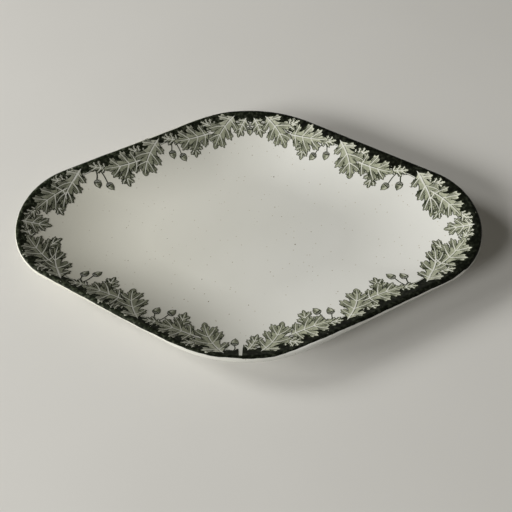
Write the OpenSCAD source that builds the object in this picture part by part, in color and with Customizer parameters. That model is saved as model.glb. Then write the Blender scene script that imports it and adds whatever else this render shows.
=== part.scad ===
// Lozenge-shaped appetizer dish in transfer-printed earthenware.
// Millimetres, +Z up. The origin is on the table, under the middle of the dish;
// +X runs along the long diagonal and +Y along the short one, away from the front.

/* [Dish] */
// Overall length, tip to tip over the lip
length = 300; // [260:1:340]
// Overall width across the two blunt corners
width = 186; // [170:1:210]
// Height from the table to the top of the lip
height = 25; // [20:0.5:30]
// Rounding of the two pointed ends, at the outer edge of the lip
end_radius = 45; // [35:1:55]
// Rounding of the two blunt corners, at the outer edge of the lip
side_radius = 93; // [75:1:105]

/* [Wall] */
// Thickness of the wall and of the floor, glaze included
wall_t = 5; // [4:0.1:7]
// Inside radius of the curve that leads from the floor up to the lip
wall_radius = 80; // [65:1:95]

/* [Foot] */
// How far the foot ring holds the dish above the table
foot_h = 3; // [2:0.1:5]
// Width of the foot ring where it joins the dish
foot_w = 7; // [5:0.5:10]
// Distance from the edge of the flat floor in to the foot ring
foot_margin = 3; // [1:0.5:8]
// Rounding of the foot ring's two lower edges
foot_round = 1.2; // [0.5:0.1:1.5]

/* [Glaze] */
// Thickness of the fired glaze
glaze_t = 0.35; // [0.2:0.05:0.6]

/* [Border print] */
// How far down the wall the solid colour of the border reaches, below the lip
print_w = 7; // [5:0.5:14]
// How far the border reaches over the lip, in degrees past its top
print_over = 45; // [0:5:60]

/* [Fineness] */
// Steps round each pointed end
end_steps = 18; // [12:2:24]
// Steps round each blunt corner
side_steps = 8; // [6:2:12]

/* [Hidden] */

// Steps in the curve of the wall below the print and in it, over the printed and the bare side of
// the lip, and in each lower edge of the foot ring
well_steps = 7;
print_steps = 2;
printed_lip_steps = 4;
bare_lip_steps = 4;
foot_round_steps = 3;

biscuit_colour = [0.90, 0.86, 0.78];
glaze_colour = [0.93, 0.93, 0.90];
print_colour = [0.06, 0.10, 0.06];

// The wall is drawn from its middle surface: the biscuit and the glaze lie to both sides of it
half_t = wall_t / 2;
biscuit_half = half_t - glaze_t;
middle_radius = wall_radius + half_t;
floor_middle_z = foot_h + half_t;
lip_z = height - half_t;

// Steepness of the wall where it reaches the lip and at the print's lower edge, and the direction
// that the lip faces at the print's upper edge
lip_slope = acos(1 - (lip_z - floor_middle_z) / middle_radius);
print_low_slope = lip_slope - print_w / wall_radius * 180 / PI;
print_edge_angle = 90 - print_over;

// The outline along the middle of the lip: circles at the ends and corners with straight sides between.
// side_angle is the direction that a straight side faces, from the long diagonal.
end_r = end_radius - half_t;
side_r = side_radius - half_t;
end_x = length / 2 - end_radius;
side_y = width / 2 - side_radius;
side_angle = acos((side_r - end_r) / norm([end_x, side_y])) - atan2(side_y, end_x);
side_distance = end_x * cos(side_angle) + end_r;

// The foot ring follows the outline at the share of its size that leaves foot_margin of floor outside it
floor_share = 1 - middle_radius * sin(lip_slope) / side_distance;
foot_share = floor_share - foot_margin / side_distance;

function steps(from, to, count) = [for (i = [0:count]) from + (to - from) * i / count];
function turned(list) = [for (i = [len(list) - 1:-1:0]) list[i]];

// Places around the outline, each [centre x, centre y, radius, direction], counterclockwise from
// the start of the right end's circle
function arc_places(x, y, r, from, to, count) = [for (a = steps(from, to, count)) [x, y, r, a]];
around = concat(
    arc_places(end_x, 0, end_r, -side_angle, side_angle, end_steps),
    arc_places(0, side_y, side_r, side_angle, 180 - side_angle, side_steps),
    arc_places(-end_x, 0, end_r, 180 - side_angle, 180 + side_angle, end_steps),
    arc_places(0, -side_y, side_r, 180 + side_angle, 360 - side_angle, side_steps));
right_tip = end_steps / 2;
front_corner = len(around) - 1 - side_steps / 2;

// A station of the section is [share of the outline, height of the middle surface, direction of the
// surface], with 90 degrees straight up
function wall_station(slope, side) = [
    1 - middle_radius * (sin(lip_slope) - sin(slope)) / side_distance,
    floor_middle_z + middle_radius * (1 - cos(slope)),
    slope + 90 * side];
function wall_run(from, to, side, count) = [for (s = steps(from, to, count)) wall_station(s, side)];
function lip_run(from, to, count) = [for (a = steps(from, to, count)) [1, lip_z, a]];
// A list without its first item, so that two runs of stations share the one where they meet
function rest(list) = [for (i = [1:len(list) - 1]) list[i]];

well_stations = wall_run(0, print_low_slope, 1, well_steps);
print_stations = concat(
    wall_run(print_low_slope, lip_slope, 1, print_steps),
    rest(lip_run(lip_slope + 90, print_edge_angle, printed_lip_steps)));
outside_stations = concat(
    lip_run(print_edge_angle, lip_slope - 90, bare_lip_steps),
    rest(wall_run(lip_slope, 0, -1, well_steps + print_steps)));
foot_station = [foot_share, floor_middle_z, -90];

// A point at a place of the outline, scaled by share and moved out by offset, at height z
function place_point(place, share, offset, z) = [
    share * place[0] + (share * place[2] + offset) * cos(place[3]),
    share * place[1] + (share * place[2] + offset) * sin(place[3]),
    z];
// A point of the surface that lies the given depth from the wall's middle surface
function surface_point(station, depth, place) =
    place_point(place, station[0], depth * cos(station[2]), station[1] + depth * sin(station[2]));
function surface_ring(station, depth) = [for (p = around) surface_point(station, depth, p)];
function outline_ring(share, offset, z) = [for (p = around) place_point(p, share, offset, z)];
// Both faces of the glaze along some stations: out along the biscuit and back along the surface
function glaze_rings(stations) = concat(
    [for (s = stations) surface_ring(s, biscuit_half)],
    [for (s = turned(stations)) surface_ring(s, half_t)]);
// The section of the glaze at one place, out along the surface and back along the biscuit
function glaze_section(stations, place) = concat(
    [for (s = stations) surface_point(s, half_t, place)],
    [for (s = turned(stations)) surface_point(s, biscuit_half, place)]);

// A solid skin over rings of equal length, closed at its two ends or into a loop
module skin(rings, loop = false) {
    count = len(rings[0]);
    last = len(rings) - 1;
    sides = [for (i = [0:loop ? last : last - 1], j = [0:count - 1])
        let (a = i * count, b = (i == last ? 0 : i + 1) * count, n = (j + 1) % count)
        each [[a + j, b + j, b + n], [a + j, b + n, a + n]]];
    ends = loop ? [] : [[for (j = [0:count - 1]) j], [for (j = [count - 1:-1:0]) last * count + j]];
    polyhedron([for (r = rings) each r], concat(sides, ends), convexity = 6);
}

// The fired clay: floor, wall and lip in one pressing
module biscuit_body() {
    stations = concat(well_stations, rest(print_stations), rest(outside_stations));
    color(biscuit_colour)
        skin([for (s = turned(stations)) surface_ring(s, biscuit_half)]);
}

// The ring that the dish stands on, flat and unglazed underneath
module foot_ring() {
    inner_edge = [for (a = steps(0, 90, foot_round_steps))
        [foot_round * (1 - cos(a)) - foot_w, foot_round * (1 - sin(a))]];
    outer_edge = [for (e = turned(inner_edge)) [-foot_w - e[0], e[1]]];
    top_z = foot_h + glaze_t;
    section = concat([[-foot_w, top_z]], inner_edge, outer_edge, [[0, top_z]]);
    color(biscuit_colour)
        skin([for (p = section) outline_ring(foot_share, p[0], p[1])], loop = true);
}

// Clear glaze over the floor and the wall below the print
module well_glaze() {
    color(glaze_colour)
        skin(glaze_rings(well_stations));
}

// A strip of the printed border, fused into the glaze, from one place of the outline to another
module print_strip(first, last) {
    color(print_colour)
        skin([for (i = [first:last]) glaze_section(print_stations, around[i % len(around)])]);
}

// Three sides of the border, counterclockwise from the right tip to the front corner
module border_print_long() {
    print_strip(right_tip, front_corner);
}

// The front right side of the border, from the front corner on to the right tip
module border_print_short() {
    print_strip(front_corner, len(around) + right_tip);
}

// Clear glaze from the print's upper edge over the lip and down the outside to the foot ring
module lip_and_outer_glaze() {
    color(glaze_colour)
        skin(glaze_rings(concat(outside_stations, [foot_station])), loop = true);
}

// Clear glaze on the underside, within the foot ring
module base_glaze() {
    color(glaze_colour)
        skin([for (z = [foot_h, foot_h + glaze_t]) outline_ring(foot_share, -foot_w, z)]);
}

biscuit_body();
foot_ring();
well_glaze();
border_print_long();
border_print_short();
lip_and_outer_glaze();
base_glaze();
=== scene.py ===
"""Dresses the lozenge dish: smooth glaze, unglazed standing ring and a printed border of oak sprays."""
import math
import random

import bpy
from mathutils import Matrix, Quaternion, Vector
from mathutils.geometry import delaunay_2d_cdt


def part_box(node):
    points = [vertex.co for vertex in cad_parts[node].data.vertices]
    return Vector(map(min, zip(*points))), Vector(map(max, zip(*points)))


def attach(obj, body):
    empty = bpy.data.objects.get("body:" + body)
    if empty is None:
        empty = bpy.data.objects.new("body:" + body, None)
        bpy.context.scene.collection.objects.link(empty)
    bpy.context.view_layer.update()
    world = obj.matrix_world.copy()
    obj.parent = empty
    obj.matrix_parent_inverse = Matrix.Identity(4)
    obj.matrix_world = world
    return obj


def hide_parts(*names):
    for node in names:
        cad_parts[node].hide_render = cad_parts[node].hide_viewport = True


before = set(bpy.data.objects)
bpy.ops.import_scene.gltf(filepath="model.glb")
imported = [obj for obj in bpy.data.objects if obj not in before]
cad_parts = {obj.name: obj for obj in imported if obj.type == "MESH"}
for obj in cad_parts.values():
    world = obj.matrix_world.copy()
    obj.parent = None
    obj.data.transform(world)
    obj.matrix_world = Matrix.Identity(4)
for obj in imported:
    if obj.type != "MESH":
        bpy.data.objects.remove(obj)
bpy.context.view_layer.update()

# Lengths are in millimetres, but in metres on the meshes, the floor, the lights and the camera
MM = 0.001

# Sizes of the dish, read from the solids or repeated from them
half_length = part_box("lip_and_outer_glaze")[1].x / MM
half_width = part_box("lip_and_outer_glaze")[1].y / MM
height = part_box("border_print_long")[1].z / MM
end_radius = 45.0
side_radius = 93.0
wall_t = 5.0
wall_radius = 80.0
foot_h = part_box("base_glaze")[0].z / MM
foot_w = 7.0
foot_margin = 3.0
foot_round = 1.2

# The glaze's surface lies this far inside the solids, so that the print on it stays within them
print_room = 0.2
half_t = wall_t / 2
depth = half_t - print_room
middle_radius = wall_radius + half_t
floor_middle_z = foot_h + half_t
lip_z = height - half_t
lip_slope = math.acos(1 - (lip_z - floor_middle_z) / middle_radius)

# The outline along the middle of the lip: circles at the ends and corners with straight sides between
end_r = end_radius - half_t
side_r = side_radius - half_t
end_x = half_length - end_radius
side_y = half_width - side_radius
side_angle = math.acos((side_r - end_r) / math.hypot(end_x, side_y)) - math.atan2(side_y, end_x)
side_distance = end_x * math.cos(side_angle) + end_r
side_length = math.sqrt(end_x ** 2 + side_y ** 2 - (side_r - end_r) ** 2)
floor_share = 1 - middle_radius * math.sin(lip_slope) / side_distance
foot_share = floor_share - foot_margin / side_distance

# One quarter of the outline, from the right tip to the back corner
end_arc = side_angle * end_r
side_arc = (math.pi / 2 - side_angle) * side_r
quarter = end_arc + side_length + side_arc


def quarter_place(s):
    """Centre, radius and direction of the circle at a distance s from the tip along a quarter."""
    if s < end_arc:
        return end_x, 0.0, end_r, s / end_r
    if s < end_arc + side_length:
        t = (s - end_arc) / side_length
        return end_x * (1 - t), side_y * t, end_r + (side_r - end_r) * t, side_angle
    return 0.0, side_y, side_r, side_angle + (s - end_arc - side_length) / side_r


def outline_place(s):
    """The same at a distance s counterclockwise from the right tip, all the way round."""
    turn, rest = divmod(s / quarter, 1.0)
    turn = int(turn) % 4
    x, y, r, a = quarter_place(quarter * (rest if turn in (0, 2) else 1 - rest))
    if turn == 1:
        return -x, y, r, math.pi - a
    if turn == 2:
        return -x, -y, r, math.pi + a
    if turn == 3:
        return x, -y, r, -a
    return x, y, r, a


def place_point(place, share, offset, z):
    """A point at a place of the outline, scaled by share and moved out by offset."""
    x, y, r, a = place
    reach = share * r + offset
    return Vector((share * x + reach * math.cos(a), share * y + reach * math.sin(a), z))


def wall_station(slope, side):
    """Share of the outline, height of the wall's middle and direction of its surface at a slope."""
    share = 1 - middle_radius * (math.sin(lip_slope) - math.sin(slope)) / side_distance
    z = floor_middle_z + middle_radius * (1 - math.cos(slope))
    return share, z, slope + side * math.pi / 2


def station_point(place, station, out):
    """A point at a distance out from the wall's middle, at a place and a station."""
    share, z, direction = station
    return place_point(place, share, out * math.cos(direction), z + out * math.sin(direction))


# The border is drawn flat: u runs along it, measured where its share of the outline is border_share,
# and v runs from the top of the lip down the inside of the wall
border_share = 0.9
border_length = 4 * quarter * border_share
border_quarter = border_length / 4
lip_reach = depth * lip_slope
# Rounds in which a slope is worked out from its v, and half the steps over which the glaze's direction
# and a patch's slant are measured
SLOPE_ROUNDS = 3
NORMAL_STEP = 0.2
PATCH_STEP = 0.5


def wall_slope(place, v):
    """The wall's slope at a distance v below the lip's top; the wall is drawn out towards the tips."""
    x, y, r, a = place
    stretch = (x * math.cos(a) + y * math.sin(a) + r) / side_distance
    slope = lip_slope
    for _ in range(SLOPE_ROUNDS):
        middle = (lip_slope + slope) / 2
        radius = (middle_radius - depth) * math.hypot(stretch * math.cos(middle), math.sin(middle))
        slope = lip_slope - (v - lip_reach) / radius
    return slope


def border_point(u, v, lift):
    """Where a point of the flat border lies on the dish, lifted off the glaze."""
    place = outline_place(u / border_share)
    if v < lip_reach:
        station = (1.0, lip_z, math.pi / 2 + v / depth)
    else:
        station = wall_station(wall_slope(place, v), 1)
    return station_point(place, station, depth + lift)


def border_normal(u, v):
    """The direction that the glaze faces at a point of the flat border."""
    along = border_point(u + NORMAL_STEP, v, 0) - border_point(u - NORMAL_STEP, v, 0)
    across = border_point(u, v + NORMAL_STEP, 0) - border_point(u, v - NORMAL_STEP, 0)
    return across.cross(along).normalized()


def spread(start, end, count):
    """Even steps from start to end, with both."""
    return [start + (end - start) * i / count for i in range(count + 1)]


# Materials

# Most of a noise lies between these values
NOISE_LOW = 0.3
NOISE_HIGH = 0.7
# The left end of the dish and a place right of its middle, between which print and glaze change
LEFT_X = -110
RIGHT_X = 40
# Name of the map that holds the flat border, and millimetres of the border to one unit of it
BORDER_MAP = "border"
BORDER_UNIT = 100
WHITE = (1.0, 1.0, 1.0)


class Shader:
    """A node material with a principled surface, and short ways to add nodes to it."""

    def __init__(self, name):
        self.material = bpy.data.materials.new(name)
        self.material.use_nodes = True
        self.tree = self.material.node_tree
        self.surface = self.tree.nodes["Principled BSDF"]
        self.place = self.add("ShaderNodeTexCoord").outputs["Object"]

    def add(self, kind, **values):
        node = self.tree.nodes.new(kind)
        for key, value in values.items():
            setattr(node, key, value)
        return node

    def link(self, source, target):
        self.tree.links.new(source, target)

    def noise(self, scale, detail=3.0):
        """Soft noise; scale is in patches to a metre."""
        node = self.add("ShaderNodeTexNoise")
        node.inputs["Scale"].default_value = scale
        node.inputs["Detail"].default_value = detail
        self.link(self.place, node.inputs["Vector"])
        return node.outputs["Fac"]

    def ramp(self, source, *stops):
        """Colours that run into each other; a stop is a position and its colour."""
        node = self.add("ShaderNodeValToRGB")
        elements = node.color_ramp.elements
        while len(elements) < len(stops):
            elements.new(0.5)
        for element, (position, colour) in zip(elements, stops):
            element.position = position
            element.color = (*colour, 1.0)
        self.link(source, node.inputs["Fac"])
        return node.outputs["Color"]

    def ranged(self, source, start, end, low, high):
        """Low where the source is at start or before it, high at end or past it, and even between."""
        node = self.add("ShaderNodeMapRange")
        node.inputs["From Min"].default_value = start
        node.inputs["From Max"].default_value = end
        node.inputs["To Min"].default_value = low
        node.inputs["To Max"].default_value = high
        self.link(source, node.inputs["Value"])
        return node.outputs["Result"]

    def uneven(self, scale, low, high):
        """A value that wanders between low and high."""
        return self.ranged(self.noise(scale), NOISE_LOW, NOISE_HIGH, low, high)

    def towards_right(self, low=0.0):
        """From low at the left end of the dish to 1 right of its middle."""
        return self.ranged(self.axis(self.place, "X"), LEFT_X * MM, RIGHT_X * MM, low, 1.0)

    def specks(self, cell, radius):
        """1 inside round specks, one to each cell of space, so that few of them meet a surface."""
        node = self.add("ShaderNodeTexVoronoi")
        node.inputs["Scale"].default_value = 1 / (cell * MM)
        self.link(self.place, node.inputs["Vector"])
        within = self.add("ShaderNodeMath", operation="LESS_THAN")
        self.link(node.outputs["Distance"], within.inputs[0])
        within.inputs[1].default_value = radius / cell
        return within.outputs["Value"]

    def mix(self, factor, first, colour):
        """The first colour where factor is 0 and the second where it is 1."""
        node = self.add("ShaderNodeMix", data_type="RGBA")
        self.link(factor, node.inputs["Factor"])
        self.link(first, node.inputs["A"])
        node.inputs["B"].default_value = (*colour, 1.0)
        return node.outputs["Result"]

    def axis(self, source, name):
        node = self.add("ShaderNodeSeparateXYZ")
        self.link(source, node.inputs["Vector"])
        return node.outputs[name]

    def shaded(self, first, second):
        """One colour times another."""
        node = self.add("ShaderNodeMix", data_type="RGBA", blend_type="MULTIPLY")
        node.inputs["Factor"].default_value = 1.0
        self.link(first, node.inputs["A"])
        self.link(second, node.inputs["B"])
        return node.outputs["Result"]

    def finish(self, colour, roughness, bump=None, bump_mm=0.0):
        self.link(colour, self.surface.inputs["Base Color"])
        self.link(roughness, self.surface.inputs["Roughness"])
        if bump is not None:
            node = self.add("ShaderNodeBump")
            node.inputs["Distance"].default_value = bump_mm * MM
            node.inputs["Strength"].default_value = 1.0
            self.link(bump, node.inputs["Height"])
            self.link(node.outputs["Normal"], self.surface.inputs["Normal"])
        return self.material


# Iron specks in the glaze: the size of the cells that hold one each, its radius and its colour
IRON_SPECKS = (
    (4.1, 0.38, (0.585, 0.555, 0.475)),
    (7.7, 0.40, (0.46, 0.42, 0.34)),
    (14.0, 0.44, (0.24, 0.21, 0.16)))
# Painted shade on the print towards the left end: this share of its lightness is left there
LEFT_PAINTED_SHADE = 0.65
# The dark ground is lighter towards the left end: its lightness at the right, as a share of that at the
# left end
RIGHT_GROUND = 0.3
# Scale at which the gloss is uneven, and the least and greatest roughness of the print
GLOSS_SCALE = 60
PRINT_GLOSS = (0.14, 0.22)
# Tint of the leaves at distances from the lip's top
LEAF_TINTS = (
    (2, (0.80, 0.81, 0.68)),
    (5, (0.66, 0.675, 0.54)),
    (8.5, (0.50, 0.52, 0.39)),
    (14, (0.43, 0.45, 0.33)),
    (28, (0.39, 0.41, 0.295)))


def glaze_material():
    """Off-white glaze with a painted warm shade tint towards the left end, iron specks and an uneven
    gloss.
    """
    s = Shader("white_glaze")
    colour = s.ramp(s.noise(14), (0.35, (0.745, 0.745, 0.705)), (0.65, (0.785, 0.785, 0.75)))
    # Painted warm shade: the glaze is tinted yellow towards the left end, where the well lies in shade
    painted_warm_shade = s.ramp(s.towards_right(), (0.0, (1.0, 0.985, 0.92)), (1.0, WHITE))
    colour = s.shaded(colour, painted_warm_shade)
    for cell, radius, iron in IRON_SPECKS:
        colour = s.mix(s.specks(cell, radius), colour, iron)
    gloss = s.uneven(GLOSS_SCALE, low=0.13, high=0.21)
    return s.finish(colour, gloss, s.noise(220, detail=1.0), bump_mm=0.02)


def ground_material():
    """Near-black green under the glaze: mottled, lighter towards the left end, with a few pinholes."""
    s = Shader("ground_green")
    s.surface.inputs["Specular IOR Level"].default_value = 0.18
    colour = s.ramp(
        s.noise(480, detail=5.0),
        (0.36, (0.005, 0.007, 0.0035)), (0.52, (0.019, 0.024, 0.013)), (0.67, (0.085, 0.096, 0.066)))
    left_lighter = s.ramp(s.towards_right(), (0.0, WHITE), (1.0, (RIGHT_GROUND, RIGHT_GROUND, RIGHT_GROUND)))
    colour = s.shaded(colour, left_lighter)
    colour = s.mix(s.specks(cell=5.5, radius=0.26), colour, (0.38, 0.39, 0.32))
    return s.finish(colour, s.uneven(GLOSS_SCALE, low=0.36, high=0.46))


def leaf_material():
    """Grey-green tint of the leaves, paler where they lie over the dark ground."""
    s = Shader("leaf_tint")
    flat = s.add("ShaderNodeUVMap", uv_map=BORDER_MAP)
    stops = [(v / BORDER_UNIT, tint) for v, tint in LEAF_TINTS]
    colour = s.ramp(s.axis(flat.outputs["UV"], "Y"), *stops)
    grain = s.ramp(s.noise(650, detail=2.0), (0.3, (0.72, 0.72, 0.72)), (0.7, WHITE))
    # Painted shade: the leaf tint darkens towards the left end of the dish
    colour = s.shaded(s.shaded(colour, grain), s.towards_right(LEFT_PAINTED_SHADE))
    return s.finish(colour, s.uneven(GLOSS_SCALE, *PRINT_GLOSS))


def ink_material():
    """Dark green engraved lines."""
    s = Shader("line_green")
    colour = s.ramp(s.noise(500), (0.35, (0.016, 0.021, 0.010)), (0.65, (0.045, 0.053, 0.030)))
    # Painted shade: the lines darken towards the left end of the dish
    return s.finish(s.shaded(colour, s.towards_right(LEFT_PAINTED_SHADE)), s.uneven(GLOSS_SCALE, *PRINT_GLOSS))


def reserve_material():
    """White lines left open in the print, as the glaze around it."""
    s = Shader("white_line")
    colour = s.ramp(s.noise(300), (0.35, (0.68, 0.685, 0.61)), (0.65, (0.76, 0.765, 0.71)))
    return s.finish(colour, s.uneven(GLOSS_SCALE, *PRINT_GLOSS))


def clay_material():
    """Bare fired clay: warm, matte and finely grained, with darker grit."""
    s = Shader("biscuit_clay")
    colour = s.ramp(s.noise(180, detail=6.0), (0.3, (0.56, 0.49, 0.38)), (0.7, (0.68, 0.61, 0.50)))
    colour = s.mix(s.specks(cell=1.9, radius=0.20), colour, (0.36, 0.28, 0.19))
    return s.finish(colour, s.uneven(90, low=0.75, high=0.92), s.noise(900, detail=4.0), bump_mm=0.08)


def floor_material():
    """Plain pale floor, very slightly cloudy."""
    s = Shader("pale_floor")
    colour = s.ramp(s.noise(6), (0.3, (0.73, 0.72, 0.695)), (0.7, (0.755, 0.745, 0.72)))
    return s.finish(colour, s.uneven(30, low=0.80, high=0.90))


GLAZE = glaze_material()
GROUND = ground_material()
LEAF = leaf_material()
INK = ink_material()
RESERVE = reserve_material()
CLAY = clay_material()


# Glaze and standing ring

# Points around the outline, and rings over the wall's inside, the lip, the outside and a rounded edge
AROUND = 480
WALL_RINGS = 32
LIP_RINGS = 18
OUTSIDE_RINGS = 24
EDGE_RINGS = 6
places = [outline_place(4 * quarter * i / AROUND) for i in range(AROUND)]


def add_piece(name, points, faces, material, nodes=()):
    """A smooth mesh that rides on the dish, and stands for the given solids."""
    mesh = bpy.data.meshes.new(name)
    mesh.from_pydata([p * MM for p in points], [], faces)
    mesh.polygons.foreach_set("use_smooth", [True] * len(mesh.polygons))
    mesh.materials.append(material)
    piece = bpy.data.objects.new(name, mesh)
    bpy.context.scene.collection.objects.link(piece)
    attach(piece, "root")
    if nodes:
        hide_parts(*nodes)
    return piece


def ring_faces(rings, count, loop):
    """Quads between neighbouring rings of count points each; in a loop the last ring joins the first."""
    faces = []
    for i in range(rings if loop else rings - 1):
        a = i * count
        b = (i + 1) % rings * count
        faces += [(a + j, a + (j + 1) % count, b + (j + 1) % count, b + j) for j in range(count)]
    return faces


def add_glaze():
    """The whole glazed surface: floor, wall, lip, outside and underside."""
    over_lip_turns = spread(lip_slope + math.pi / 2, lip_slope - math.pi / 2, LIP_RINGS)[1:]
    stations = [wall_station(slope, 1) for slope in spread(0, lip_slope, WALL_RINGS)]
    stations += [(1.0, lip_z, a) for a in over_lip_turns]
    stations += [wall_station(slope, -1) for slope in spread(lip_slope, 0, OUTSIDE_RINGS)[1:]]
    points = [station_point(place, station, depth) for station in stations for place in places]
    faces = ring_faces(len(stations), AROUND, False)
    last = (len(stations) - 1) * AROUND
    faces.append(tuple(range(AROUND))[::-1])
    faces.append(tuple(range(last, last + AROUND)))
    add_piece(
        "glaze_coat", points, [f[::-1] for f in faces], GLAZE,
        ("well_glaze", "lip_and_outer_glaze", "base_glaze"))


def add_foot():
    """The standing ring, with rounded lower edges and bare clay all over."""
    turns = spread(0, math.pi / 2, EDGE_RINGS)
    curve = [(foot_round * (1 - math.cos(a)), foot_round * (1 - math.sin(a))) for a in turns]
    inner = [(x - foot_w, z) for x, z in curve]
    outer = [(-x, z) for x, z in curve[::-1]]
    top = foot_h + print_room
    section = [(-foot_w, top)] + inner + outer + [(0.0, top)]
    points = [place_point(place, foot_share, offset, z) for offset, z in section for place in places]
    faces = ring_faces(len(section), AROUND, True)
    add_piece("standing_ring", points, faces, CLAY, ("foot_ring",))


# Printed films

# Longest piece of a printed line, pieces of a rounded outline between two of its points, spacing of the
# points inside a shape, the distance within which they merge, and how far the print's underside lies
# below the glaze
LINE_CUT = 1.4
CURVE_CUTS = 3
SHAPE_GRID = 1.6
SHAPE_WELD = 1e-6
FILM_SUNK = 0.05
# The filling of an outline keeps only the faces inside it
FILL_INSIDE = 1


def inside(point, outline):
    """Whether a point lies within a closed outline."""
    x, y = point
    found = False
    for (x0, y0), (x1, y1) in zip(outline, outline[1:] + outline[:1]):
        if (y0 > y) != (y1 > y) and x < x0 + (y - y0) / (y1 - y0) * (x1 - x0):
            found = not found
    return found


class Film:
    """A thin closed sheet of print on the border, gathered from many flat shapes."""

    def __init__(self):
        self.flat = []
        self.faces = []

    def add(self, points, faces, lift):
        first = len(self.flat)
        self.flat += [(x, y, lift) for x, y in points]
        self.faces += [tuple(first + i for i in face) for face in faces]

    def line(self, points, start, end, lift):
        """A line through the points that tapers from its start to its end width."""
        dense = []
        for (x0, y0), (x1, y1) in zip(points, points[1:]):
            cuts = max(1, math.ceil(math.hypot(x1 - x0, y1 - y0) / LINE_CUT))
            dense += [(x0 + (x1 - x0) * i / cuts, y0 + (y1 - y0) * i / cuts) for i in range(cuts)]
        dense.append(points[-1])
        sides = []
        for i, (x, y) in enumerate(dense):
            ax, ay = dense[max(0, i - 1)]
            bx, by = dense[min(len(dense) - 1, i + 1)]
            size = math.hypot(bx - ax, by - ay) or 1.0
            half = (start + (end - start) * i / (len(dense) - 1)) / 2 / size
            sides.append((x - (by - ay) * half, y + (bx - ax) * half))
            sides.append((x + (by - ay) * half, y - (bx - ax) * half))
        quads = [(2 * i, 2 * i + 1, 2 * i + 3, 2 * i + 2) for i in range(len(dense) - 1)]
        self.add(sides, quads, lift)

    def shape(self, outline, lift):
        """A filled outline, with inner points so that it bends with the wall."""
        low = [min(p[k] for p in outline) for k in (0, 1)]
        high = [max(p[k] for p in outline) for k in (0, 1)]
        inner = []
        for i in range(int((high[0] - low[0]) / SHAPE_GRID) + 1):
            for j in range(int((high[1] - low[1]) / SHAPE_GRID) + 1):
                p = (low[0] + (i + 0.5) * SHAPE_GRID, low[1] + (j + 0.5) * SHAPE_GRID)
                if inside(p, outline):
                    inner.append(p)
        points = [Vector(p) for p in outline + inner]
        edge = list(range(len(outline)))
        verts, _, faces, *_ = delaunay_2d_cdt(points, [], [edge], FILL_INSIDE, SHAPE_WELD)
        self.add([tuple(v) for v in verts], faces, lift)

    def make(self, name, material, corner, way, nodes=()):
        """Lays the film on the dish; its flat points start at a corner and run one way from there."""
        count = len(self.flat)
        flat = [(corner + way * x, y) for x, y, _ in self.flat]
        normals = [border_normal(u, v) for u, v in flat]
        points = [border_point(u, v, p[2]) for (u, v), p in zip(flat, self.flat)]
        points += [border_point(u, v, -FILM_SUNK) for u, v in flat]
        upper = []
        for face in self.faces:
            a, b, c = (points[i] for i in face[:3])
            upper.append(face if (b - a).cross(c - a).dot(normals[face[0]]) > 0 else face[::-1])
        edges = [edge for face in upper for edge in zip(face, face[1:] + face[:1])]
        known = set(edges)
        sides = [(b, a, a + count, b + count) for a, b in edges if (b, a) not in known]
        lower = [tuple(i + count for i in face[::-1]) for face in upper]
        piece = add_piece(name, points, upper + sides + lower, material, nodes)
        mesh = piece.data
        layer = mesh.uv_layers.new(name=BORDER_MAP)
        facing = []
        for face in mesh.polygons:
            way_up = 1 if face.index < len(upper) + len(sides) else -1
            for i in face.loop_indices:
                vertex = mesh.loops[i].vertex_index % count
                u, v = flat[vertex]
                layer.data[i].uv = (u / BORDER_UNIT, v / BORDER_UNIT)
                facing.append(normals[vertex] * way_up)
        mesh.normals_split_custom_set(facing)


class Patch:
    """Lays true distances on the border near a point, where u and v are slanted or drawn out."""

    def __init__(self, base, middle):
        self.base = base
        u, v = middle
        along = (self.wall(u + PATCH_STEP, v) - self.wall(u - PATCH_STEP, v)) / (2 * PATCH_STEP)
        down = (self.wall(u, v + PATCH_STEP) - self.wall(u, v - PATCH_STEP)) / (2 * PATCH_STEP)
        first = along.normalized()
        second = (down - first * down.dot(first)).normalized()
        self.u_scale = 1 / along.length
        self.v_scale = 1 / down.dot(second)
        self.slant = down.dot(first)

    def wall(self, u, v):
        return border_point(border_quarter - u, v, 0)

    def point(self, x, y):
        dv = y * self.v_scale
        return self.base[0] + (x - dv * self.slant) * self.u_scale, self.base[1] + dv


def rounded(points):
    """A closed curve through the points."""
    out = []
    for i in range(len(points)):
        near = [points[(i + k) % len(points)] for k in (-1, 0, 1, 2)]
        for j in range(CURVE_CUTS):
            t = j / CURVE_CUTS
            weights = (
                (-t + 2 * t ** 2 - t ** 3) / 2,
                1 - 2.5 * t ** 2 + 1.5 * t ** 3,
                (t + 4 * t ** 2 - 3 * t ** 3) / 2,
                (t ** 3 - t ** 2) / 2)
            out.append(tuple(sum(w * p[k] for w, p in zip(weights, near)) for k in (0, 1)))
    return out


# Leaves

# Pieces of a midrib, of its pointed start, of a lobe's vein and of an engraved stroke
MIDRIB_CUTS = 12
POINT_CUTS = 3
VEIN_CUTS = 4
STROKE_CUTS = 3

# Measures of a leaf are shares of its length, along it and across it, but widths of lines are millimetres.
# Its lobes on each side of its midrib: where they start, how many degrees they lean and how far they reach
LOBES = ((0.14, 70, 0.32), (0.35, 57, 0.42), (0.58, 44, 0.36))
# How much that varies from lobe to lobe
LOBE_START_SHIFT = 0.02
LOBE_LEAN_SHIFT = 4
LOBE_REACH_RANGE = (0.94, 1.08)
# The edge of a lobe, as shares of its reach and turns in degrees off its vein
LOBE_EDGE = (
    (0.52, 22), (0.70, 20), (0.84, 15), (0.81, 8), (1.0, 1),
    (0.82, -6), (0.87, -13), (0.72, -19), (0.50, -22))
# The edge at the leaf's base, the dip between two lobes and how far past their middle it lies, and the
# edge from the last lobes to the tip
LEAF_BASE = (0.04, 0.012)
DIP = 0.13
DIP_LEAD = 0.06
LEAF_END = ((0.775, 0.07), (0.80, 0.075), (0.85, 0.10), (0.89, 0.065), (0.94, 0.06))
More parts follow.
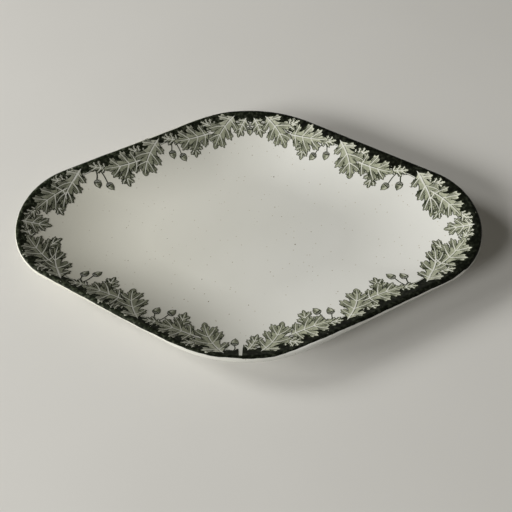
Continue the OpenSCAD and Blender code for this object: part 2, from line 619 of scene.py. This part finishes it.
# The leaf's end as a lobe of its own: its side, start, lean and reach
END_LOBE = (1, 0.76, 0.0, 0.24)

# White midrib: its width at the base, where it is full, where it ends, and its widths at those two places
MIDRIB_TIP = 0.15
MIDRIB_POINT = 0.07
MIDRIB_END = 0.92
MIDRIB_WIDTHS = (0.95, 0.28)
# White veins of the lobes: the share of the reach that they run, their sway in degrees and their widths
VEIN_REACH = 0.88
VEIN_SWAY = 4
VEIN_WIDTHS = (0.62, 0.20)

# Engraved strokes on both sides of a vein: the first one's distance from it, the distance between them,
# and both widths
SHADED = (0.70, 0.88, 0.66, 0.20)
LIT = (0.85, 0.92, 0.42, 0.12)
# Half the width that they fill, as a share of the lobe's reach, and the shares of the reach at which
# they start and end: at the vein, and the change from there to the last stroke
STROKE_FIELD = 0.29
STROKE_START = (0.16, 0.30)
STROKE_END = (0.97, -0.22)
# The least share of that end that a stroke reaches, and how strokes close in on the vein: their distance
# at the vein's start, and the change over its reach
STROKE_SHORT = 0.84
STROKE_CLOSING = (1.12, -0.55)
# A dark line along one side of the midrib: its distance in millimetres and its widths
MIDRIB_SHADE = 0.55
MIDRIB_SHADE_WIDTHS = (0.5, 0.2)


class Leaf:
    """A lobed leaf that grows from base towards turn, with a curved midrib."""

    def __init__(self, base, turn, length, bend, draw):
        self.turn = math.radians(turn)
        self.length = length
        self.bend = math.radians(bend)
        self.draw = draw
        half = length / 2
        middle = (base[0] + half * math.cos(self.turn), base[1] + half * math.sin(self.turn))
        self.patch = Patch(base, middle)
        self.lobes = []
        for side in (1, -1):
            for at, lean, reach in LOBES:
                self.lobes.append((
                    side,
                    at + draw.uniform(-LOBE_START_SHIFT, LOBE_START_SHIFT),
                    math.radians(lean + draw.uniform(-LOBE_LEAN_SHIFT, LOBE_LEAN_SHIFT)),
                    reach * draw.uniform(*LOBE_REACH_RANGE)))

    def place(self, x, y):
        """Where a point lies on the border, from shares of the length along and across the leaf."""
        turn = self.turn + self.bend * (x - 0.5)
        half = self.turn + self.bend * (x / 2 - 0.5)
        along = x * self.length
        across = y * self.length
        return self.patch.point(
            along * math.cos(half) - across * math.sin(turn),
            along * math.sin(half) + across * math.cos(turn))

    def on_lobe(self, lobe, share, turn):
        """Shares of the length at a share of a lobe's reach and a turn off its vein."""
        side, at, lean, reach = lobe
        a = lean + math.radians(turn)
        return at + share * reach * math.cos(a), side * share * reach * math.sin(a)

    def outline(self):
        halves = []
        for side in (1, -1):
            lobes = [lobe for lobe in self.lobes if lobe[0] == side]
            points = [(LEAF_BASE[0], side * LEAF_BASE[1])]
            for i, lobe in enumerate(lobes):
                points += [self.on_lobe(lobe, *edge) for edge in LOBE_EDGE]
                if i + 1 < len(lobes):
                    points.append(((lobe[1] + lobes[i + 1][1]) / 2 + DIP_LEAD, side * DIP))
            points += [(x, side * y) for x, y in LEAF_END]
            halves.append(points)
        points = [(0.0, 0.0)] + halves[0] + [(1.0, 0.0)] + halves[1][::-1]
        return [self.place(x, y) for x, y in rounded(points)]

    def veins(self):
        """White lines, each its points and its widths at both ends."""
        point = [self.place(x, 0.0) for x in spread(0.0, MIDRIB_POINT, POINT_CUTS)]
        midrib = [self.place(x, 0.0) for x in spread(MIDRIB_POINT, MIDRIB_END, MIDRIB_CUTS)]
        out = [(point, MIDRIB_TIP, MIDRIB_WIDTHS[0]), (midrib, *MIDRIB_WIDTHS)]
        for lobe in self.lobes:
            shares = spread(0.0, VEIN_REACH, VEIN_CUTS)
            line = [self.on_lobe(lobe, share, VEIN_SWAY * math.sin(j)) for j, share in enumerate(shares)]
            out.append(([self.place(x, y) for x, y in line], *VEIN_WIDTHS))
        return out

    def stroke(self, lobe, way, away, far):
        """One stroke on one side of a lobe's vein; far is its distance as a share of the field's half."""
        side, at, lean, reach = lobe
        start = reach * (STROKE_START[0] + STROKE_START[1] * far)
        end = reach * (STROKE_END[0] + STROKE_END[1] * far) * self.draw.uniform(STROKE_SHORT, 1.0)
        line = []
        for s in spread(start, end, STROKE_CUTS):
            closing = STROKE_CLOSING[0] + STROKE_CLOSING[1] * s / reach
            offset = way * away / self.length * closing
            x = at + s * math.cos(lean) - offset * math.sin(lean)
            y = s * math.sin(lean) + offset * math.cos(lean)
            line.append(self.place(x, side * y))
        return line

    def hatching(self):
        """Dark engraved strokes beside the veins, closer and heavier on one side of each."""
        out = []
        for lobe in self.lobes + [END_LOBE]:
            half = STROKE_FIELD * lobe[3] * self.length
            for way, (first, pitch, *widths) in ((1, SHADED), (-1, LIT)):
                for j in range(int((half - first) / pitch) + 1):
                    away = first + j * pitch
                    out.append((self.stroke(lobe, way, away, away / half), *widths))
        beside = -MIDRIB_SHADE / self.length
        shade = [self.place(i / MIDRIB_CUTS, beside) for i in range(1, MIDRIB_CUTS - 1)]
        out.append((shade, *MIDRIB_SHADE_WIDTHS))
        return out


# Acorns

ACORN_SIZE = 6.2
# Measures of an acorn are shares of its size, along it from the end of its stalk and across it.
# How far the stalk reaches into the cup and how far it bows, and its pieces
STALK_IN = 0.03
STALK_BOW = 0.12
STALK_CUTS = 6
# The cup: its widest place, its bulge behind that and before it, half its width, and the pieces of each
CUP_AT = 0.36
CUP_BEHIND = -0.34
CUP_BEFORE = 0.07
CUP_HALF = 0.40
CUP_CUTS = 12
# One side of the nut, and its tip
NUT_SIDE = ((0.40, 0.32), (0.60, 0.33), (0.80, 0.25), (0.94, 0.09))
NUT_TIP = (1.06, 0.0)
# Dark strokes on the nut: how far off its middle they are, their start, their steps and how they close in
NUT_STROKES = (0.25, 0.15, 0.05)
NUT_STROKE_START = 0.50
NUT_STROKE_STEP = 0.15
NUT_STROKE_CLOSING = 0.09
# The gleam on its other side in the same way
GLEAM_SIDE = -0.18
GLEAM_START = 0.48
GLEAM_STEP = 0.11
GLEAM_CLOSING = 0.08
NUT_POINTS = 4
# White scales on the cup: the first one's place, the steps between scales and rows, how far each row is
# shifted, how much a row curves, and half the length of a scale
SCALE_ROWS = 2
SCALES = 4
SCALE_FIRST = (0.15, -0.24)
SCALE_STEP = 0.15
SCALE_ROW_STEP = 0.12
SCALE_ROW_SHIFT = 0.06
SCALE_CURVE = 0.3
SCALE_HALF = 0.03


class Acorn:
    """An acorn on a thin stalk that leaves the stem at base and hangs towards turn."""

    def __init__(self, base, turn, stalk):
        self.patch = Patch(base, (base[0], base[1] + stalk))
        self.turn = math.radians(turn)
        self.stalk = stalk

    def place(self, x, y):
        """Where a point lies on the border, from shares of the size along and across the acorn."""
        c = math.cos(self.turn)
        s = math.sin(self.turn)
        along = self.stalk + ACORN_SIZE * x
        across = ACORN_SIZE * y
        return self.patch.point(along * c - across * s, along * s + across * c)

    def stalk_line(self):
        share = self.stalk / ACORN_SIZE
        line = []
        for t in spread(0.0, 1.0, STALK_CUTS):
            line.append(self.place(share * (t - 1) + STALK_IN * t, STALK_BOW * math.sin(math.pi * t)))
        return line

    def cup(self):
        behind = [(CUP_BEHIND, a) for a in spread(-math.pi / 2, math.pi / 2, CUP_CUTS)]
        before = [(CUP_BEFORE, a) for a in spread(math.pi / 2, -math.pi / 2, CUP_CUTS)[1:-1]]
        edge = [(CUP_AT + bulge * math.cos(a), CUP_HALF * math.sin(a)) for bulge, a in behind + before]
        return [self.place(x, y) for x, y in edge]

    def nut(self):
        points = list(NUT_SIDE) + [NUT_TIP] + [(x, -y) for x, y in NUT_SIDE[::-1]]
        return [self.place(x, y) for x, y in rounded(points)]

    def strokes(self):
        """Dark strokes along one side of the nut."""
        lines = []
        for y in NUT_STROKES:
            step = NUT_STROKE_STEP * (1 - y)
            lines.append([
                self.place(NUT_STROKE_START + step * j, y * (1 - NUT_STROKE_CLOSING * j))
                for j in range(NUT_POINTS)])
        return lines

    def scales(self):
        """Rows of white scales on the cup."""
        marks = []
        for row in range(SCALE_ROWS):
            for i in range(SCALES):
                y = SCALE_FIRST[1] + SCALE_STEP * i + SCALE_ROW_SHIFT * row
                x = SCALE_FIRST[0] + SCALE_ROW_STEP * row + SCALE_CURVE * y * y
                marks.append([self.place(x - SCALE_HALF, y), self.place(x + SCALE_HALF, y)])
        return marks

    def gleam(self):
        return [
            self.place(GLEAM_START + GLEAM_STEP * j, GLEAM_SIDE * (1 - GLEAM_CLOSING * j))
            for j in range(NUT_POINTS)]


# Sprays

# Lifts of the print off the glaze, one above the other: the ground, the stem, and two layers of leaves
GROUND_LIFT = 0.03
STEM_LIFT = 0.05
BACK_LEAF_LIFT = 0.08
FRONT_LEAF_LIFT = 0.135
# How far the lines of a layer lie above its tint
INK_RISE = 0.017
WHITE_RISE = 0.034

# Widths of lines: around leaves and nuts, the stem's dark line and the white one in it, from the corner
# to the tip, the stalks, the strokes and gleam on a nut, and the scales on its cup
OUTLINE_WIDTH = 0.36
STEM_WIDTHS = (1.1, 0.8)
STEM_WHITE_WIDTHS = (0.55, 0.35)
STALK_WIDTH = 0.55
NUT_STROKE_WIDTHS = (0.35, 0.15)
GLEAM_WIDTHS = (0.45, 0.20)
SCALE_WIDTH = 0.40

# A spray is made of equal lengths, from its corner on. Its stem waves about a line down the wall, and
# ends a little before the last length does
sprig_start = 8.0
sprig_pitch = 51.5
sprig_count = 3
stem_end = sprig_start + sprig_pitch * sprig_count - 4
STEM_DOWN = 9.0
STEM_WAVE = 1.8
STEM_CUTS = 90

# Leaves of one length: their place along it and down the wall, the direction in degrees that they grow
# in, their length and their bend in degrees
BACK_LEAVES = ((15, 9.3, -36, 13, -15), (31, 12.0, 68, 15, 18), (42.5, 9.2, -26, 12.5, -12))
FRONT_LEAVES = ((2, 3.2, 49, 28, 18), (21, 12.3, -9, 27, -16))
# Its acorns: their place along the stem, the direction that they hang in and the length of their stalk
ACORNS = ((46.5, 106, 11.0), (48.5, 80, 6.5))
# How much leaves vary in direction and length, and acorns in direction
LEAF_TURN_SHIFT = 4
LEAF_LENGTH_SHIFT = 1
ACORN_TURN_SHIFT = 6
# Single leaves at a corner and at a tip, as above but without a place along the border at the tip, and
# a single acorn near a corner: its place down the wall, its direction and its stalk
CORNER_LEAF = (2.5, 5.0, 64, 15, 15)
TIP_LEAF = (2.5, 90, 19, 0)
CORNER_ACORN = (6.5, 90, 4.5)

# The two strips of print were laid unevenly: how far below their usual height on the wall they lie, at
# distances along the border from the right tip
LAID = (
    (0, 0.0), (30, -0.5), (140, -0.5), (190, -1.0),
    (492, -0.9), (494, 1.4), (635, 1.4), (659, 0.0))


def eased(points, u):
    """The value at u on a smooth curve through some points."""
    for (u0, value0), (u1, value1) in zip(points, points[1:]):
        if u <= u1:
            t = max(0.0, (u - u0) / (u1 - u0))
            return value0 + (value1 - value0) * t * t * (3 - 2 * t)
    return points[-1][1]


def stem_v(u):
    """How far down the wall the stem usually runs, at a distance u from its corner."""
    return STEM_DOWN - STEM_WAVE * math.cos(2 * math.pi * (u - sprig_start) / sprig_pitch)


def sprig(u, draw, lower):
    """The leaves behind, the leaves in front and the acorns of one length of the spray."""
    def leaf(along, v, turn, length, bend):
        base = (u + along, v + lower(u + along))
        turned = turn + draw.uniform(-LEAF_TURN_SHIFT, LEAF_TURN_SHIFT)
        grown = length + draw.uniform(-LEAF_LENGTH_SHIFT, LEAF_LENGTH_SHIFT)
        return Leaf(base, turned, grown, bend, draw)

    behind = [leaf(*values) for values in BACK_LEAVES]
    front = [leaf(*values) for values in FRONT_LEAVES]
    acorns = []
    for along, turn, stalk in ACORNS:
        at = u + along
        base = (at, stem_v(at) + lower(at))
        acorns.append(Acorn(base, turn + draw.uniform(-ACORN_TURN_SHIFT, ACORN_TURN_SHIFT), stalk))
    return behind, front, acorns


def print_leaf(leaf, lift, tint, ink, white):
    """Adds a leaf to the films of tint, dark lines and white lines."""
    edge = leaf.outline()
    tint.shape(edge, lift)
    ink.line(edge + edge[:1], OUTLINE_WIDTH, OUTLINE_WIDTH, lift + INK_RISE)
    for line, start, end in leaf.hatching():
        ink.line(line, start, end, lift + INK_RISE)
    for line, start, end in leaf.veins():
        white.line(line, start, end, lift + WHITE_RISE)


def print_acorn(acorn, lift, tint, ink, white):
    """Adds an acorn and its stalk to the films."""
    ink.line(acorn.stalk_line(), STALK_WIDTH, STALK_WIDTH, lift)
    nut = acorn.nut()
    tint.shape(nut, lift)
    ink.line(nut + nut[:1], OUTLINE_WIDTH, OUTLINE_WIDTH, lift + INK_RISE)
    for line in acorn.strokes():
        ink.line(line, *NUT_STROKE_WIDTHS, lift + INK_RISE)
    ink.shape(acorn.cup(), lift + INK_RISE)
    for scale in acorn.scales():
        white.line(scale, SCALE_WIDTH, SCALE_WIDTH, lift + WHITE_RISE)
    white.line(acorn.gleam(), *GLEAM_WIDTHS, lift + WHITE_RISE)


def add_spray(name, corner, way, seed, corner_leaf, tip_leaf, corner_acorn=None):
    """A spray of oak that runs from a blunt corner to a tip."""
    def lower(u):
        return eased(LAID, corner + way * u)

    draw = random.Random(seed)
    behind = []
    front = []
    acorns = []
    for i in range(sprig_count):
        more_behind, more_front, more_acorns = sprig(sprig_start + sprig_pitch * i, draw, lower)
        behind += more_behind
        front += more_front
        acorns += more_acorns
    # The last length has no acorns, because the leaf at the tip is there
    acorns = acorns[:-len(ACORNS)]
    if corner_leaf:
        u, v, *values = CORNER_LEAF
        behind.append(Leaf((u, v + lower(u)), *values, draw))
    if tip_leaf:
        v, *values = TIP_LEAF
        front.append(Leaf((border_quarter, v + lower(border_quarter)), *values, draw))
    if corner_acorn is not None:
        v, *values = CORNER_ACORN
        acorns.append(Acorn((corner_acorn, v + lower(corner_acorn)), *values))
    tint = Film()
    ink = Film()
    white = Film()
    stem = [(u, stem_v(u) + lower(u)) for u in spread(sprig_start, stem_end, STEM_CUTS)]
    ink.line(stem, *STEM_WIDTHS, STEM_LIFT)
    white.line(stem, *STEM_WHITE_WIDTHS, STEM_LIFT + INK_RISE)
    for leaf in behind:
        print_leaf(leaf, BACK_LEAF_LIFT, tint, ink, white)
    for leaf in front:
        print_leaf(leaf, FRONT_LEAF_LIFT, tint, ink, white)
    for acorn in acorns:
        print_acorn(acorn, BACK_LEAF_LIFT, tint, ink, white)
    tint.make("leaf_tint_" + name, LEAF, corner, way)
    ink.make("ink_lines_" + name, INK, corner, way)
    white.make("white_lines_" + name, RESERVE, corner, way)


# Dark ground along the rim

# The joint between the two strips of print: its middle, its width and the sliver left at the lip
seam_u = 3 * border_quarter - 1.2
seam_gap = 2.2
seam_sliver = 1.3
seam_start = seam_u - seam_gap / 2
seam_end = seam_u + seam_gap / 2

# How far the two strips pass the lip's top, in degrees, at distances along the border from the right tip.
# The long one only just reaches the top of the lip at the back left. The short one does at the front, and
# has a notch near the right tip
LONG_OVER = (
    (0, 62), (40, 60), (55, 68), (126, 70), (146, 48), (166, 30), (180, 44), (192, 13), (204, 9),
    (218, 2), (230, 6), (242, 18), (254, 24), (264, 52), (278, 66), (294, 66), (304, 52), (316, 40),
    (330, 36), (365, 40), (398, 49), (424, 62), (434, 60), (452, 44), (463, 29), (477, 28), (488, 14))
SHORT_OVER = (
    (488, 18), (509, 27), (527, 0), (548, 22), (566, 42),
    (599, 50), (616, 58), (625, 34), (629, 60), (660, 55))
# Waves of the ground's ragged edges, at the lip and on the wall: their height, length and phase
LIP_WAVES = ((0.07, 2.3, 0), (0.05, 0.9, 0))
WALL_WAVES = ((0.50, 4.1, 0), (0.40, 1.7, 2), (0.30, 0.83, 0))
EDGE_SHIFT = 0.35
# How much further down the ground reaches at the tips, and over what length
tip_depth = 2.2
tip_span = 7.0
# Spacing of the ground's points along the border, its rows over the lip and down the wall, and the least
# height of the rows down the wall together
GROUND_STEP = 0.6
LIP_ROWS = 9
WALL_ROWS = 5
LEAST_WALL = 0.05


def waving(waves, u):
    """The sum of some waves at u."""
    return sum(size * math.sin(u / length + phase) for size, length, phase in waves)


def over_lip(points, u):
    """How far past the lip's top the dark ground reaches."""
    return depth * math.radians(eased(points, u)) + waving(LIP_WAVES, u)


def ground_edge(u, draw):
    """How far down the wall the dark ground reaches: to the stem, with a ragged edge."""
    local = abs(u % (2 * border_quarter) - border_quarter)
    tip = tip_depth * math.exp(-((border_quarter - local) / tip_span) ** 2)
    ragged = waving(WALL_WAVES, u) + draw.uniform(-EDGE_SHIFT, EDGE_SHIFT)
    return stem_v(local) + eased(LAID, u) + tip + ragged


def long_edge(u, draw):
    """The same for the long strip, of which only a sliver is left at the joint."""
    edge = ground_edge(u, draw)
    return seam_sliver if u > seam_start else edge


def add_ground(name, start, end, over, under, seed, node):
    """A strip of solid colour along the rim, from u start to end, over the lip and down the wall."""
    draw = random.Random(seed)
    film = Film()
    columns = spread(start, end, int((end - start) / GROUND_STEP))
    rows = LIP_ROWS + WALL_ROWS + 1
    points = []
    for u in columns:
        low = under(u, draw)
        lip_end = min(lip_reach, low)
        points += [(u, v) for v in spread(-over_lip(over, u), lip_end, LIP_ROWS)]
        points += [(u, v) for v in spread(lip_end, max(low, lip_end + LEAST_WALL), WALL_ROWS)[1:]]
    faces = []
    for i in range(len(columns) - 1):
        for j in range(rows - 1):
            a = i * rows + j
            faces.append((a, a + 1, a + rows + 1, a + rows))
    film.add(points, faces, GROUND_LIFT)
    film.make(name, GROUND, 0.0, 1, (node,))


# Making the dish

back_corner = border_quarter
front_corner = 3 * border_quarter
add_glaze()
add_foot()
add_ground("ground_long", 0.0, seam_end, LONG_OVER, long_edge, seed=11, node="border_print_long")
add_ground(
    "ground_short", seam_end, border_length, SHORT_OVER, ground_edge, seed=12, node="border_print_short")
add_spray("back_right", back_corner, -1, seed=21, corner_leaf=True, tip_leaf=True, corner_acorn=0.0)
add_spray("back_left", back_corner, 1, seed=22, corner_leaf=True, tip_leaf=False)
add_spray("front_left", front_corner, -1, seed=23, corner_leaf=False, tip_leaf=True, corner_acorn=5.2)
add_spray("front_right", front_corner, 1, seed=24, corner_leaf=True, tip_leaf=False)

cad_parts["biscuit_body"].data.materials.clear()
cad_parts["biscuit_body"].data.materials.append(CLAY)


# Floor, light and camera

# Half the floor's side, and the windows' distance, width and colour
FLOOR_HALF = 3.0
WINDOW_DISTANCE = 2.6
WINDOW_SIZE = 0.8
WINDOW_COLOUR = (1.0, 0.995, 0.965)
SURROUND_COLOUR = (1.0, 0.95, 0.82, 1.0)
SURROUND_STRENGTH = 0.10


def add_floor():
    """A plain square floor under the dish."""
    mesh = bpy.data.meshes.new("floor")
    corners = [(-1, -1), (1, -1), (1, 1), (-1, 1)]
    mesh.from_pydata([(x * FLOOR_HALF, y * FLOOR_HALF, 0) for x, y in corners], [], [(0, 1, 2, 3)])
    mesh.materials.append(floor_material())
    floor = bpy.data.objects.new("floor", mesh)
    bpy.context.scene.collection.objects.link(floor)


def add_window(name, azimuth, elevation, power, mirrored):
    """A round soft light that faces the dish; azimuth is counterclockwise from +X."""
    data = bpy.data.lights.new(name, "AREA")
    data.shape = "DISK"
    data.size = WINDOW_SIZE
    data.energy = power
    data.color = WINDOW_COLOUR
    light = bpy.data.objects.new(name, data)
    flat = WINDOW_DISTANCE * math.cos(math.radians(elevation))
    light.location = (
        flat * math.cos(math.radians(azimuth)),
        flat * math.sin(math.radians(azimuth)),
        WINDOW_DISTANCE * math.sin(math.radians(elevation)))
    light.rotation_mode = "QUATERNION"
    light.rotation_quaternion = (-light.location).to_track_quat("-Z", "Y")
    light.visible_glossy = mirrored
    bpy.context.scene.collection.objects.link(light)


add_floor()
# Only the low window is mirrored in the glaze
add_window("low_window", azimuth=190, elevation=21, power=30.5, mirrored=True)
add_window("front_window", azimuth=215, elevation=30, power=30.0, mirrored=False)
add_window("back_window", azimuth=165, elevation=33, power=28.0, mirrored=False)
world = bpy.data.worlds.new("studio")
world.use_nodes = True
surround = world.node_tree.nodes["Background"]
surround.inputs["Color"].default_value = SURROUND_COLOUR
surround.inputs["Strength"].default_value = SURROUND_STRENGTH
bpy.context.scene.world = world
bpy.context.scene.view_settings.view_transform = "Standard"

# The camera's place, from the point on the rim's plane that it aims at
camera_aim = Vector((6.6, -24.9, height)) * MM
camera_distance = 385.6 * MM
camera_azimuth = math.radians(3.28)
camera_elevation = math.radians(62.33)
camera_roll = math.radians(-2.39)
back = Vector((
    math.sin(camera_azimuth) * math.cos(camera_elevation),
    -math.cos(camera_azimuth) * math.cos(camera_elevation),
    math.sin(camera_elevation)))
camera_data = bpy.data.cameras.new("camera")
camera_data.sensor_width = 36.0
camera_data.lens = 43.6
camera_data.clip_start = 0.01
camera = bpy.data.objects.new("camera", camera_data)
camera.location = camera_aim + back * camera_distance
camera.rotation_mode = "QUATERNION"
camera.rotation_quaternion = (-back).to_track_quat("-Z", "Y") @ Quaternion((0, 0, 1), camera_roll)
bpy.context.scene.collection.objects.link(camera)
bpy.context.scene.camera = camera
